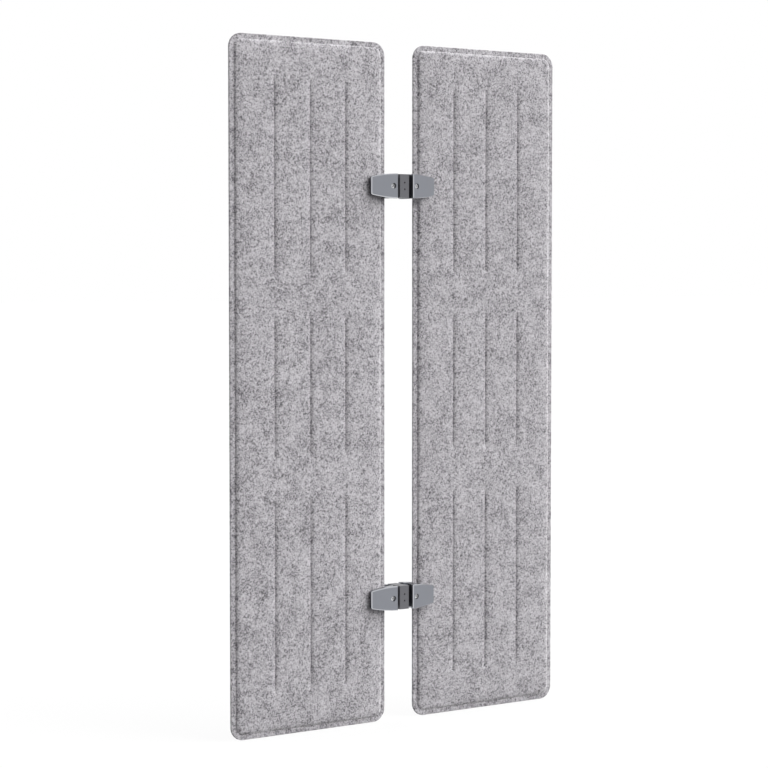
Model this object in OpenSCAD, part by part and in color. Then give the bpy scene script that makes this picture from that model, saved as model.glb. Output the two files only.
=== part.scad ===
// Two-leaf hinged felt screen: moulded felt leaves joined by two-pin link hinges.
// Millimetres. X runs along the width, the front faces -Y and Z is up.
// The origin is on the floor, halfway between the leaves, in the plane where the shells are welded.

/* [Leaf] */
// Width of one leaf
leaf_w = 400; // [300:5:600]
// Height of one leaf
leaf_h = 1500; // [1300:10:1800]
// Radius of the leaf's corners
corner_r = 30; // [26:1:40]
// Width of the flat pressed rim
rim_w = 11.5; // [10:0.5:15]
// Thickness of one felt shell
felt_t = 2.5; // [2:0.25:3]
// Rise of the raised middle above the rim, on each face
pillow_rise = 6; // [4:0.5:8]
// Slope of the shoulder between rim and middle, in degrees
shoulder_angle = 60; // [55:1:75]
// Share of the shoulder's height that its rounding takes
shoulder_share = 0.9; // [0.5:0.05:0.9]
// Room between the wadding core and the shells
core_clear = 0.3; // [0.2:0.05:0.6]

/* [Grooves] */
// Grooves side by side in a row
groove_columns = 3; // [1:1:3]
// Distance between neighbouring grooves
groove_pitch = 91.5; // [60:0.5:100]
// Width of a groove at the surface
groove_w = 16; // [12:0.5:26]
// Share of the raised middle's rise that a groove is pressed back
groove_share = 0.4; // [0.3:0.05:0.75]
// Plain stretch between the leaf's top or bottom edge and the first groove
groove_margin = 87; // [60:1:140]
// Plain stretch between two rows of grooves
groove_row_gap = 82; // [50:1:120]
// Length of the grooves in the middle row
mid_groove_l = 316; // [200:2:400]

/* [Hinge places] */
// Height of the lower hinge's centre above the floor
lower_hinge_z = 275; // [150:1:400]
// Distance of the upper hinge's centre below the leaf's top edge
upper_hinge_drop = 313; // [150:1:400]
// Swing of each leaf about its own pin, to either side, in degrees
swing = 35; // [15:1:35]

/* [Hinge link] */
// Width of the middle link
link_w = 25; // [22:0.5:30]
// Depth of the middle link, front to rear
link_depth = 48; // [40:1:54]
// Height of the middle link
link_h = 52; // [48:1:60]
// Bevel along the link's upright edges
link_bevel = 1; // [0.5:0.25:2]
// Distance of each pin from the middle of the link
pin_x = 6.5; // [6.25:0.25:8]
// Radius of the pins
pin_r = 2.5; // [2:0.25:3]
// Running clearance between a pin and a knuckle, on the radius
pin_fit = 0.05; // [0.02:0.01:0.1]
// Link material left above and below the pins
pin_cap = 3; // [2:0.5:4]
// Room between the link and what swings past it
link_clear = 0.6; // [0.4:0.1:1]
// Shank radius of the two link screws
link_screw_r = 1.25; // [1:0.05:1.5]
// Head radius of the link screws
link_head_r = 1.9; // [1.7:0.05:2.1]
// Head height of the link screws
link_head_h = 2; // [1.5:0.25:2.5]
// Depth of the holes that the link screw heads sit in
link_recess = 5; // [3:0.5:8]
// Length of the link screws under the head
link_screw_l = 30; // [26:1:36]

/* [Knuckle] */
// Thickness of a knuckle finger
finger_t = 7; // [5:0.5:8]
// Distance between neighbouring fingers
finger_pitch = 14.7; // [14:0.1:16]
// Fingers on a knuckle
finger_count = 3; // [1:2:3]
// Room above and below each finger
finger_clear = 0.4; // [0.3:0.05:0.6]
// Radius of a finger's eye round the pin
eye_r = 5; // [4.5:0.25:5.5]
// Thickness of a finger between eye and root, front to rear
arm_t = 8; // [6:0.5:9]
// Thickness of the knuckle's root between the jaws
root_t = 16; // [12:0.5:18]
// Height of the knuckle's root
root_h = 44; // [40:1:48]

/* [Jaws] */
// Reach of the jaws over the leaf
jaw_grip = 46.8; // [40:0.2:60]
// Depth of the jaw's face at the link, from the weld plane
jaw_depth_in = 28.9; // [27:0.1:32]
// Depth of the jaw's face at its far end, from the weld plane
jaw_depth_out = 19.2; // [17:0.1:22]
// Height of the jaw at the link
jaw_h_in = 54; // [48:1:62]
// Height of the jaw at its far end
jaw_h_out = 39; // [34:1:44]
// Radius of the far corners
jaw_corner_r = 4; // [3:0.5:6]
// Bevel round the jaw's face
jaw_bevel = 1.8; // [1:0.2:2.6]
// Room left between the two jaws' lips at full swing
lip_gap = 2.6; // [1:0.2:6]
// Room between the leaf's edge and the hinge
edge_clear = 0.5; // [0.3:0.1:2]

/* [Clamp screw] */
// Shank radius of the clamp screw
screw_r = 3; // [2.5:0.25:3.5]
// Room round the shank and the sleeve nut in their holes
screw_clear = 0.2; // [0.1:0.05:0.4]
// Room in a screw thread, on the radius
thread_fit = 0.05; // [0.02:0.01:0.1]
// Head radius of the clamp screw and of its sleeve nut
screw_head_r = 5; // [4.75:0.25:5.5]
// Head height of the clamp screw
screw_head_h = 4; // [3.5:0.25:7]
// Head height of the sleeve nut
nut_head_h = 4; // [3:0.5:6]
// Outer radius of the sleeve nut
sleeve_r = 4.2; // [4:0.1:4.75]
// Radius of the holes that the heads sit in
recess_r = 6; // [5.75:0.25:6.5]
// Depth of the seat of both heads, from the weld plane
seat_depth = 19.5; // [18:0.5:20.5]
// Distance across the flats of the hexagon sockets
socket_af = 5; // [4:0.5:5.5]
// Depth of the hexagon sockets
socket_d = 2.5; // [2:0.25:3]
// Wall between the screw hole and the space that the link swings in
screw_wall = 1.5; // [1:0.1:4]
// Distance of the screw from the leaf's edge
screw_to_edge = 7.5; // [6.75:0.25:12]

/* [Pads] */
// Thickness of a rubber pad over the raised middle
pad_t = 2; // [1:0.25:3]
// Distance of a pad from the edges of its jaw
pad_margin = 2.5; // [2:0.5:5]

/* [Hidden] */
$fn = 64;
SIDES = ["left", "right"];
LEVELS = ["lower", "upper"];
LEAF_PIECES = ["front_shell", "rear_shell", "core"];
CLAMP_PIECES = ["front_jaw", "rear_jaw", "knuckle", "front_pad", "rear_pad", "clamp_screw", "sleeve_nut"];
LINK_PIECES = ["link_front", "link_rear", "left_pin", "right_pin", "link_screws"];
NODES = concat(
    [for (side = SIDES) for (piece = LEAF_PIECES) str(side, "_", piece)],
    [for (level = LEVELS) for (side = SIDES) for (piece = CLAMP_PIECES) str(level, "_", side, "_", piece)],
    [for (level = LEVELS) for (piece = LINK_PIECES) str(level, "_", piece)]
);
node = "all";

FELT = [0.67, 0.66, 0.68];
WADDING = [0.90, 0.90, 0.87];
SATIN = [0.60, 0.61, 0.65];
DARK = [0.44, 0.44, 0.47];
STEEL = [0.78, 0.78, 0.80];
RUBBER = [0.10, 0.10, 0.11];

// Overrun of a cutting shape past the face it cuts
over = 1;
// Overlap of a screw's shank with its own head
sunk = 0.5;
// Side count of a hexagon socket
hexagon = 6;
// Facets round the whole circle that a jaw's long edge is part of
edge_fn = 720;

// Raised middle of the leaf: depth of its face, and of the hollow behind it
face_depth = felt_t + pillow_rise;
hollow_depth = face_depth - felt_t;
// Distance from a corner's centre to the foot of the shoulder, outside and in the hollow
foot_u = corner_r - rim_w;
hollow_foot_u = foot_u - felt_t * sin(shoulder_angle)
    + (felt_t - felt_t * cos(shoulder_angle)) / tan(shoulder_angle);
shoulder_r = shoulder_share * pillow_rise / (1 - cos(shoulder_angle));
hollow_r = shoulder_r - felt_t;

// Groove rows: centres and lengths, and the ridge that each groove makes inside
end_groove_l = (leaf_h - 2 * groove_margin - 2 * groove_row_gap - mid_groove_l) / 2;
groove_d = groove_share * pillow_rise;
groove_slope = groove_d / (groove_w / 2);
ridge_d = groove_d + felt_t * sqrt(1 + groove_slope * groove_slope) - felt_t;
row_shift = (mid_groove_l + end_groove_l) / 2 + groove_row_gap;
GROOVE_ROWS = [[-row_shift, end_groove_l], [0, mid_groove_l], [row_shift, end_groove_l]];
GROOVE_SHIFTS = [for (i = [0 : groove_columns - 1]) (i - (groove_columns - 1) / 2) * groove_pitch];

// Hinge: how far the link's corner reaches, and where screw, leaf edge, root and jaw follow from it
link_half = link_w / 2 - pin_x;
link_reach_r = norm([link_half, link_depth / 2]) + link_clear;
link_corner_angle = atan2(link_half, link_depth / 2);
link_reach = pin_x + link_reach_r * sin(link_corner_angle + swing);
screw_hole_r = screw_r + screw_clear;
sleeve_hole_r = sleeve_r + screw_clear;
screw_x = link_reach + screw_wall + sleeve_hole_r;
leaf_x = screw_x + screw_to_edge;
root_x = pin_x + (link_half + link_clear + root_t / 2 * sin(swing)) / cos(swing);
jaw_x = pin_x + (jaw_depth_in * sin(swing) - pin_x + lip_gap / 2) / cos(swing);
jaw_end_x = leaf_x + jaw_grip;
jaw_l = jaw_end_x - jaw_x;
jaw_slope = atan2(jaw_depth_in - jaw_depth_out, jaw_l);
jaw_face_l = norm([jaw_l, jaw_depth_in - jaw_depth_out]);
jaw_taper = (jaw_h_in - jaw_h_out) / 2;
jaw_edge_r = (jaw_face_l * jaw_face_l + jaw_taper * jaw_taper) / (2 * jaw_taper);
jaw_edge_v = jaw_h_in / 2 - jaw_edge_r;
jaw_corner_u = jaw_face_l - jaw_corner_r;
jaw_corner_v = jaw_edge_v + sqrt(pow(jaw_edge_r - jaw_corner_r, 2) - pow(jaw_corner_u, 2));
jaw_corner_turn = atan2(jaw_corner_v - jaw_edge_v, jaw_corner_u);
pad_depth = face_depth + pad_t;
pad_h = jaw_h_out - 2 * pad_margin;
pad_slope_x = leaf_x + rim_w - pad_t;
pad_top_x = pad_slope_x + pillow_rise / tan(shoulder_angle);
pad_end_x = jaw_end_x - pad_margin - jaw_depth_out * sin(jaw_slope) * cos(jaw_slope);
FINGERS = [for (i = [0 : finger_count - 1]) (i - (finger_count - 1) / 2) * finger_pitch];
LINK_SCREWS = [-finger_pitch / 2, finger_pitch / 2];
pin_l = link_h - 2 * pin_cap;
slot_l = link_half + over;
screw_tip = seat_depth - screw_head_h;
sleeve_end = screw_clear + over;

function side_x(side) = side == "left" ? -1 : 1;
function level_z(level) = level == "lower" ? lower_hinge_z : leaf_h - upper_hinge_drop;
function wanted(name) = node == "all" || node == name;
function slot_half(x) = (arm_t / 2 + link_clear) / cos(swing) + x * tan(swing);

// Section across the edge of a raised form: flat top, rounded shoulder, sloping side.
// The foot is at [foot, foot_depth], and any rim runs on to rim_u at the foot's depth.
module edge_section(foot, foot_depth, top, r, rim_u) {
    centre_u = foot - (r + (top - r - foot_depth) * cos(shoulder_angle)) / sin(shoulder_angle);
    centre = [centre_u, top - r];
    touch = centre + r * [sin(shoulder_angle), cos(shoulder_angle)];
    inner = touch + (centre - touch) * touch[1] / 2 / (touch[1] - centre[1]);
    polygon([[0, 0], [rim_u, 0], [rim_u, foot_depth], [foot, foot_depth], touch, inner, [0, inner[1]]]);
    square([centre_u, top]);
    intersection() {
        translate(centre) circle(r);
        translate([0, inner[1] / 2]) square([foot, top]);
    }
}

// A raised form over the whole leaf, lying flat with its front up
module raised_form(foot, foot_depth, top, r, rim_u) {
    w = leaf_w - 2 * corner_r;
    h = leaf_h - 2 * corner_r;
    translate([-w / 2, -h / 2, 0]) cube([w, h, top]);
    for (turn = [0, 1, 2, 3]) {
        run = turn % 2 == 0 ? h : w;
        away = turn % 2 == 0 ? w : h;
        rotate(90 * turn) translate([away / 2, run / 2, 0]) {
            rotate([90, 0, 0]) linear_extrude(run) edge_section(foot, foot_depth, top, r, rim_u);
            rotate_extrude(angle = 90) edge_section(foot, foot_depth, top, r, rim_u);
        }
    }
}

// A V-shaped groove with half-cone ends, its mouth at the given depth and open above it
module groove(length, mouth, depth) {
    straight = length - groove_w;
    half = (depth + over) / groove_slope;
    rotate([90, 0, 0]) linear_extrude(straight, center = true)
        polygon([[0, mouth - depth], [half, mouth + over], [-half, mouth + over]]);
    for (turn = [0, 180])
        rotate(turn) translate([0, straight / 2, 0]) rotate_extrude(angle = 180)
            polygon([[0, mouth - depth], [half, mouth + over], [0, mouth + over]]);
}

module all_grooves(mouth, depth) {
    for (row = GROOVE_ROWS)
        for (shift = GROOVE_SHIFTS)
            translate([shift, row[0], 0]) groove(row[1], mouth, depth);
}

// One moulded shell, lying flat with its front up
module shell() {
    difference() {
        raised_form(foot_u, felt_t, face_depth, shoulder_r, corner_r);
        all_grooves(face_depth, groove_d);
        difference() {
            raised_form(hollow_foot_u, 0, hollow_depth, hollow_r, hollow_foot_u);
            all_grooves(hollow_depth, ridge_d);
        }
    }
}

// One half of the wadding core, clear of its shell on every side
module half_core() {
    foot = hollow_foot_u - core_clear;
    top = hollow_depth - core_clear;
    difference() {
        raised_form(foot, 0, top, hollow_r, foot);
        all_grooves(top, ridge_d);
    }
}

// Stands a flat-lying leaf piece up at its place
module on_leaf(side) {
    translate([side_x(side) * (leaf_x + leaf_w / 2), 0, leaf_h / 2]) rotate([90, 0, 0]) children();
}

module front_shell(side) {
    color(FELT) on_leaf(side) shell();
}

module rear_shell(side) {
    color(FELT) on_leaf(side) mirror([0, 0, 1]) shell();
}

module core(side) {
    color(WADDING) on_leaf(side) {
        half_core();
        mirror([0, 0, 1]) half_core();
    }
}

// Sets a piece that is drawn for the right leaf at its hinge and side
module at_clamp(level, side) {
    translate([0, 0, level_z(level)]) mirror([side == "left" ? 1 : 0, 0, 0]) children();
}

// A disc, or a sector of one, with the jaw's bevel round its face
module bevelled_disc(r, turn) {
    rotate_extrude(angle = turn)
        polygon([[0, 0], [r - jaw_bevel, 0], [r, jaw_bevel], [r, jaw_depth_in], [0, jaw_depth_in]]);
}

// The jaw between its two curved long edges, from the link to its far corners
module jaw_middle() {
    far = 2 * jaw_corner_r;
    corner = [jaw_corner_u, jaw_corner_v];
    out = corner + far * [cos(jaw_corner_turn), sin(jaw_corner_turn)];
    difference() {
        intersection() {
            translate([0, jaw_edge_v, 0]) bevelled_disc(jaw_edge_r, 360, $fn = edge_fn);
            translate([0, -jaw_edge_v, 0]) bevelled_disc(jaw_edge_r, 360, $fn = edge_fn);
        }
        translate([0, 0, -over]) linear_extrude(jaw_depth_in + 2 * over) polygon([
            corner, out, [jaw_face_l + far, jaw_h_in], [jaw_face_l + far, -jaw_h_in],
            [out[0], -out[1]], [corner[0], -corner[1]]
        ]);
    }
}

// The jaw's bevelled block before anything is cut from it: u runs outwards, the face is at z = 0
module jaw_block() {
    translate([jaw_x, -jaw_depth_in, 0]) rotate([0, 0, jaw_slope]) rotate([-90, 0, 0]) {
        intersection() {
            jaw_middle();
            rotate([90, 0, 0]) linear_extrude(2 * jaw_h_in, center = true) polygon([
                [0, jaw_bevel], [jaw_bevel, 0], [jaw_face_l, 0],
                [jaw_face_l, jaw_depth_in], [0, jaw_depth_in]
            ]);
        }
        rotate([90, 0, 0]) linear_extrude(2 * jaw_corner_v, center = true) polygon([
            [jaw_corner_u, 0], [jaw_face_l - jaw_bevel, 0], [jaw_face_l, jaw_bevel],
            [jaw_face_l, jaw_depth_in], [jaw_corner_u, jaw_depth_in]
        ]);
        for (side = [0, 1]) mirror([0, side, 0]) translate([jaw_corner_u, jaw_corner_v, 0])
            bevelled_disc(jaw_corner_r, jaw_corner_turn);
    }
}

// The jaw seen from above: it seats on the root and stands off the leaf by the pad
module jaw_plan() {
    front = -jaw_depth_in - over;
    far = jaw_end_x + over;
    root_end = leaf_x - edge_clear;
    linear_extrude(2 * jaw_h_in, center = true) polygon([
        [jaw_x, front], [far, front], [far, -pad_depth], [root_end, -pad_depth],
        [root_end, -root_t / 2], [jaw_x, -root_t / 2]
    ]);
}

// The space that the link's corner sweeps inside a jaw
module link_sweep() {
    big = 4 * link_depth;
    translate([pin_x, 0, 0]) intersection() {
        cylinder(h = 2 * jaw_h_in, r = link_reach_r, center = true);
        rotate(swing) translate([link_half + link_clear - big, -big / 2, -big / 2]) cube(big);
    }
}

// A front jaw on the right leaf, with a hole of the given radius for the clamp screw
module jaw(hole_r) {
    difference() {
        intersection() {
            jaw_block();
            jaw_plan();
        }
        link_sweep();
        translate([screw_x, 0, 0]) rotate([90, 0, 0]) {
            cylinder(h = jaw_depth_in + over, r = hole_r);
            translate([0, 0, seat_depth]) cylinder(h = jaw_depth_in, r = recess_r);
        }
    }
}

module front_jaw(level, side) {
    color(SATIN) at_clamp(level, side) jaw(screw_hole_r);
}

module rear_jaw(level, side) {
    color(SATIN) at_clamp(level, side) mirror([0, 1, 0]) jaw(sleeve_hole_r);
}

module knuckle(level, side) {
    color(SATIN) at_clamp(level, side) difference() {
        union() {
            translate([root_x, -root_t / 2, -root_h / 2])
                cube([leaf_x - edge_clear - root_x, root_t, root_h]);
            for (z = FINGERS) {
                translate([pin_x, 0, z]) cylinder(h = finger_t, r = eye_r, center = true);
                translate([pin_x, -arm_t / 2, z - finger_t / 2])
                    cube([root_x - pin_x + over, arm_t, finger_t]);
            }
        }
        translate([pin_x, 0, 0]) cylinder(h = 2 * root_h, r = pin_r + pin_fit, center = true);
        translate([screw_x, 0, 0]) rotate([90, 0, 0])
            cylinder(h = 2 * root_t, r = sleeve_hole_r, center = true);
    }
}

// A front pad on the right leaf: it sits on the rim and on the raised middle
module pad() {
    start = leaf_x + pad_margin;
    linear_extrude(pad_h, center = true) polygon([
        [start, -pad_depth], [start, -felt_t], [pad_slope_x, -felt_t],
        [pad_top_x, -face_depth], [pad_end_x, -face_depth], [pad_end_x, -pad_depth]
    ]);
}

module front_pad(level, side) {
    color(RUBBER) at_clamp(level, side) pad();
}

module rear_pad(level, side) {
    color(RUBBER) at_clamp(level, side) mirror([0, 1, 0]) pad();
}

// A hexagon socket sunk into a head whose top is at z = 0
module hex_socket() {
    across_corners = socket_af / cos(180 / hexagon);
    translate([0, 0, -socket_d]) cylinder(h = socket_d + over, d = across_corners, $fn = hexagon);
}

module clamp_screw(level, side) {
    color(STEEL) at_clamp(level, side) translate([screw_x, 0, 0]) rotate([90, 0, 0]) difference() {
        union() {
            translate([0, 0, seat_depth]) cylinder(h = screw_head_h, r = screw_head_r);
            translate([0, 0, -screw_tip]) cylinder(h = screw_tip + seat_depth + sunk, r = screw_r);
        }
        translate([0, 0, seat_depth + screw_head_h]) hex_socket();
    }
}

module sleeve_nut(level, side) {
    color(STEEL) at_clamp(level, side) translate([screw_x, 0, 0]) rotate([-90, 0, 0]) difference() {
        union() {
            translate([0, 0, seat_depth]) cylinder(h = nut_head_h, r = screw_head_r);
            translate([0, 0, sleeve_end]) cylinder(h = seat_depth - sleeve_end + sunk, r = sleeve_r);
        }
        translate([0, 0, sleeve_end - over]) cylinder(h = screw_tip + over, r = screw_r + thread_fit);
        translate([0, 0, seat_depth + nut_head_h]) hex_socket();
    }
}

// The slot that one finger swings in, from the pin to the link's side
module finger_slot() {
    linear_extrude(finger_t + 2 * finger_clear, center = true) {
        circle(eye_r + link_clear);
        polygon([
            [0, -slot_half(0)], [slot_l, -slot_half(slot_l)],
            [slot_l, slot_half(slot_l)], [0, slot_half(0)]
        ]);
    }
}

// The front half of the link, with screw holes of the given size
module link_half_block(hole_r, hole_l) {
    x = link_w / 2;
    y = link_depth / 2;
    difference() {
        linear_extrude(link_h, center = true) polygon([
            [-x, 0], [-x, -y + link_bevel], [-x + link_bevel, -y],
            [x - link_bevel, -y], [x, -y + link_bevel], [x, 0]
        ]);
        for (side = [0, 1]) mirror([side, 0, 0]) translate([pin_x, 0, 0]) {
            cylinder(h = pin_l, r = pin_r + pin_fit, center = true);
            for (z = FINGERS) translate([0, 0, z]) finger_slot();
        }
        for (z = LINK_SCREWS) translate([0, 0, z]) rotate([90, 0, 0]) cylinder(h = hole_l, r = hole_r);
    }
}

module link_front(level) {
    color(DARK) translate([0, 0, level_z(level)]) difference() {
        link_half_block(link_screw_r + screw_clear, link_depth);
        for (z = LINK_SCREWS) translate([0, -link_depth / 2 + link_recess, z]) rotate([90, 0, 0])
            cylinder(h = link_depth, r = link_head_r + screw_clear);
    }
}

module link_rear(level) {
    hole_l = link_screw_l - (link_depth / 2 - link_recess) + over;
    color(DARK) translate([0, 0, level_z(level)]) mirror([0, 1, 0])
        link_half_block(link_screw_r + thread_fit, hole_l);
}

module link_screws(level) {
    head_z = link_depth / 2 - link_recess;
    color(STEEL) translate([0, 0, level_z(level)]) for (z = LINK_SCREWS)
        translate([0, 0, z]) rotate([90, 0, 0]) {
            translate([0, 0, head_z]) cylinder(h = link_head_h, r = link_head_r);
            translate([0, 0, head_z - link_screw_l]) cylinder(h = link_screw_l + sunk, r = link_screw_r);
        }
}

module hinge_pin(level, side) {
    color(STEEL) translate([side_x(side) * pin_x, 0, level_z(level)])
        cylinder(h = pin_l - 2 * pin_fit, r = pin_r, center = true);
}

for (side = SIDES) {
    if (wanted(str(side, "_front_shell"))) front_shell(side);
    if (wanted(str(side, "_rear_shell"))) rear_shell(side);
    if (wanted(str(side, "_core"))) core(side);
}

for (level = LEVELS) {
    for (side = SIDES) {
        if (wanted(str(level, "_", side, "_front_jaw"))) front_jaw(level, side);
        if (wanted(str(level, "_", side, "_rear_jaw"))) rear_jaw(level, side);
        if (wanted(str(level, "_", side, "_knuckle"))) knuckle(level, side);
        if (wanted(str(level, "_", side, "_front_pad"))) front_pad(level, side);
        if (wanted(str(level, "_", side, "_rear_pad"))) rear_pad(level, side);
        if (wanted(str(level, "_", side, "_clamp_screw"))) clamp_screw(level, side);
        if (wanted(str(level, "_", side, "_sleeve_nut"))) sleeve_nut(level, side);
        if (wanted(str(level, "_", side, "_pin"))) hinge_pin(level, side);
    }
    if (wanted(str(level, "_link_front"))) link_front(level);
    if (wanted(str(level, "_link_rear"))) link_rear(level);
    if (wanted(str(level, "_link_screws"))) link_screws(level);
}
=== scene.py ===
import math

import bpy
import numpy as np
from bpy.props import FloatProperty, FloatVectorProperty, IntProperty, PointerProperty
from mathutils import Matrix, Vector


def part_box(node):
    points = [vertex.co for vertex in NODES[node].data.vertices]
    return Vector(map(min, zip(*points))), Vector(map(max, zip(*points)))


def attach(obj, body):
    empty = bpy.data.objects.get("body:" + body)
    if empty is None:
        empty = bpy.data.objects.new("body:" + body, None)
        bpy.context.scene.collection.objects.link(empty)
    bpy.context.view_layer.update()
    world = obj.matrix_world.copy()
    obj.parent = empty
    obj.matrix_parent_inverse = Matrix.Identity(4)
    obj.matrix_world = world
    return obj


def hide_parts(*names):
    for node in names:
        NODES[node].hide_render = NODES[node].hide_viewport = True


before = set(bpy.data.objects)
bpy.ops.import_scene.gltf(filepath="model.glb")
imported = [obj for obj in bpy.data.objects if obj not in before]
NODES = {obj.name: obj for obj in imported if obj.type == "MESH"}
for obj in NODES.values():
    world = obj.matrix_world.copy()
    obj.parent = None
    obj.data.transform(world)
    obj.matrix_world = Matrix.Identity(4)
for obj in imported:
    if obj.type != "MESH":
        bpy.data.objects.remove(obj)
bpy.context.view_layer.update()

bl_info = {
    "name": "Hinged felt screen",
    "version": (1, 0, 0),
    "blender": (4, 5, 0),
    "location": "3D View > Sidebar > Felt screen",
    "description": "Dresses a two-leaf hinged screen: moulded felt leaves, clamp hinges and a plain stage",
    "category": "Object",
}

SIDES = ("left", "right")
LEVELS = ("lower", "upper")
FACES = {"front": 1, "rear": -1}
MM = 0.001

# Half the thickness of a leaf: the depth of one shell from the plane where the two are welded
LEAF_DEPTH = -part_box("left_front_shell")[0].y


def length(name, description, default):
    """A length property in metres."""
    return FloatProperty(name=name, description=description, default=default, min=0.0,
                         unit="LENGTH", precision=4)


def portion(name, description, default, most=1.0):
    """A property that is a share of something, from 0 to the most allowed."""
    return FloatProperty(name=name, description=description, default=default, min=0.0, max=most,
                         subtype="FACTOR")


def brightness(name, description, default):
    """A property for the strength of a light or glow."""
    return FloatProperty(name=name, description=description, default=default, min=0.0)


def colour(name, description, default):
    """A colour property, as linear red, green and blue."""
    return FloatVectorProperty(name=name, description=description, default=default, size=3,
                               min=0.0, max=1.0, subtype="COLOR")


class LeafSettings(bpy.types.PropertyGroup):
    corner_radius: length("Corner radius", "Radius of the leaf's corners", 0.030)
    rim_width: length("Rim width", "Width of the flat pressed rim", 0.0115)
    felt_thickness: length("Felt thickness", "Thickness of one felt shell", 0.0025)
    shoulder_reach: length("Shoulder reach", "How far the steep shoulder runs out", 0.0019)
    crown_reach: length("Crown reach", "How far the crown above the shoulder runs out", 0.0060)
    crown_share: portion("Crown share", "Share of the rise that the crown takes", 0.20, most=0.9)
    swell_reach: length("Swell reach", "How far the slow swell of the middle runs out", 0.028)
    swell_share: portion("Swell share", "Share of the rise that the slow swell takes", 0.37, most=0.9)
    softness: length("Softness", "How far the pressed edges of the felt are softened", 0.0003)
    groove_columns: IntProperty(name="Grooves in a row", description="Number of grooves side by side",
                                default=3, min=1)
    groove_pitch: length("Groove pitch", "Distance between neighbouring grooves", 0.0915)
    groove_share: portion("Groove depth", "Share of the rise that a groove is pressed back", 0.64, most=0.9)
    groove_wall: length("Groove wall", "Width of the steep left wall of a groove", 0.0010)
    groove_run: length("Groove run", "How far the slanted right wall of a groove runs out", 0.0058)
    groove_reach: length("Groove reach", "How far the soft lips of a groove reach", 0.014)
    lip_share: portion("Lip depth", "Share of a groove's depth that its left lip takes", 0.2)
    end_radius: length("Groove end", "Radius of the dish at the ends of a groove", 0.011)
    end_share: portion("End depth", "Share of a groove's depth that its end dishes have", 0.65)
    groove_margin: length("Groove margin", "Plain stretch above and below the grooves", 0.087)
    groove_gap: length("Groove gap", "Plain stretch between two rows of grooves", 0.082)
    middle_groove: length("Middle groove", "Length of the grooves in the middle row", 0.316)
    wave: length("Waviness", "Height of the felt's slow waves", 0.00015)
    wadding_clear: length("Wadding clearance", "Room between the wadding and the felt", 0.0003)
    pad_clear: length("Pad clearance", "Room between the rubber pads and the felt", 0.0001)


class FinishSettings(bpy.types.PropertyGroup):
    felt_mid: colour("Felt", "Main colour of the felt", (0.410, 0.392, 0.419))
    felt_dark: colour("Dark fibres", "Colour of the felt's dark fibres", (0.055, 0.052, 0.058))
    felt_light: colour("Light fibres", "Colour of the felt's light fibres", (0.620, 0.604, 0.630))
    wadding: colour("Wadding", "Colour of the wadding", (0.780, 0.770, 0.730))
    satin: colour("Satin metal", "Colour of the jaws' faces", (0.272, 0.282, 0.312))
    # Painted highlight: the jaws' bevels take this lighter colour in place of the light their edges catch;
    # the knuckles have it as their own colour
    bright: colour("Bright bevel", "Colour of the jaws' polished bevels", (0.520, 0.530, 0.560))
    # Painted shade: the links are coloured darker than the jaws to stand in for the shade of their recess
    # between the jaws
    dark_metal: colour("Link metal with painted shade", "Colour of the links", (0.180, 0.180, 0.194))
    steel: colour("Steel", "Colour of pins and link screws", (0.700, 0.700, 0.710))
    zinc: colour("Zinc", "Colour of clamp screws and sleeve nuts", (0.860, 0.860, 0.870))
    rubber: colour("Rubber", "Colour of the pads", (0.022, 0.022, 0.024))
    edge: length("Edge rounding", "Rounding of the edges of metal and pads", 0.00035)


class StageSettings(bpy.types.PropertyGroup):
    floor: colour("Floor", "Colour of the floor", (0.130, 0.130, 0.130))
    floor_white: portion("Floor white", "Share of plain white in the floor as seen", 0.55)
    floor_glow: brightness("Floor glow", "Strength of the white in the floor as seen", 1.665)
    key: brightness("Key light", "Strength of the light from the front right", 6.3)
    fill: brightness("Rear fill", "Strength of the light from behind", 2.2)
    ambient: brightness("Ambient", "Strength of the light from all round", 0.315)
    light_spread: FloatProperty(name="Light spread", description="Angle that each of the two lights spans",
                                default=math.radians(80), subtype="ANGLE")
    lens: FloatProperty(name="Lens", description="Focal length in millimetres", default=106.9, min=1.0)
    eye: FloatVectorProperty(name="Camera", description="Place of the camera", size=3,
                             subtype="TRANSLATION", unit="LENGTH", default=(-2.9607, -4.1055, 1.000))
    turn: FloatVectorProperty(name="Camera turn", description="Rotation of the camera", size=3,
                              subtype="EULER", default=(math.radians(87.162), 0.0, math.radians(-35.438)))


def leaf_settings():
    return bpy.context.scene.felt_screen_leaf


def finishes():
    return bpy.context.scene.felt_screen_finish


def stage_settings():
    return bpy.context.scene.felt_screen_stage


# The shoulder's curve is worked out at small steps, from the leaf's edge to well inside its middle
CURVE_STEP = 0.00005
CURVE_END = 0.060
# Points tried round a place to find the inner face, one felt thickness behind the outer one
INNER_TRIES = 41
# A softened edge is worked out as far as this many times its reach
BELL_REACH = 4
# Rounding of a shell's outer edge and opening of its welded edge, as shares of the felt's thickness
ROUND_WIDTH = 0.5
ROUND_DEPTH = 0.3
SEAM_WIDTH = 0.3
SEAM_DEPTH = 0.25
# Distances behind the rim over which the swell and the waves grow to their full height
SWELL_START = 3 * MM
WAVE_START = 12 * MM
# A groove presses the inner face a little further than the outer one
INNER_PRESS = 1.06
# Least depth of a shell's inner face, least depth that takes wadding, least half thickness of wadding
INNER_LEAST = 0.05 * MM
WADDING_ROOM = 0.8 * MM
WADDING_LEAST = 0.3 * MM
# Slow waves, as turns across and up over the span, and phase. A leaf's are moved with its place
WAVES = ((21, 9, 0.4), (-13, 17, 1.9), (31, -5, 3.1), (7, 27, 5.0), (-37, 23, 2.2))
WAVE_SPAN = 2.4
WAVE_MOVE = 3
# The dish at a groove's end deepens by this power towards its middle
DISH_POWER = 1.5


def soften(values, step, reach):
    """Blurs a row of values by a bell curve of the given reach."""
    half = int(BELL_REACH * reach / step)
    offsets = np.arange(-half, half + 1) * step
    bell = np.exp(-0.5 * (offsets / reach) ** 2)
    padded = np.concatenate([np.full(half, values[0]), values, np.full(half, values[-1])])
    return np.convolve(padded, bell / bell.sum(), mode="valid")


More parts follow.
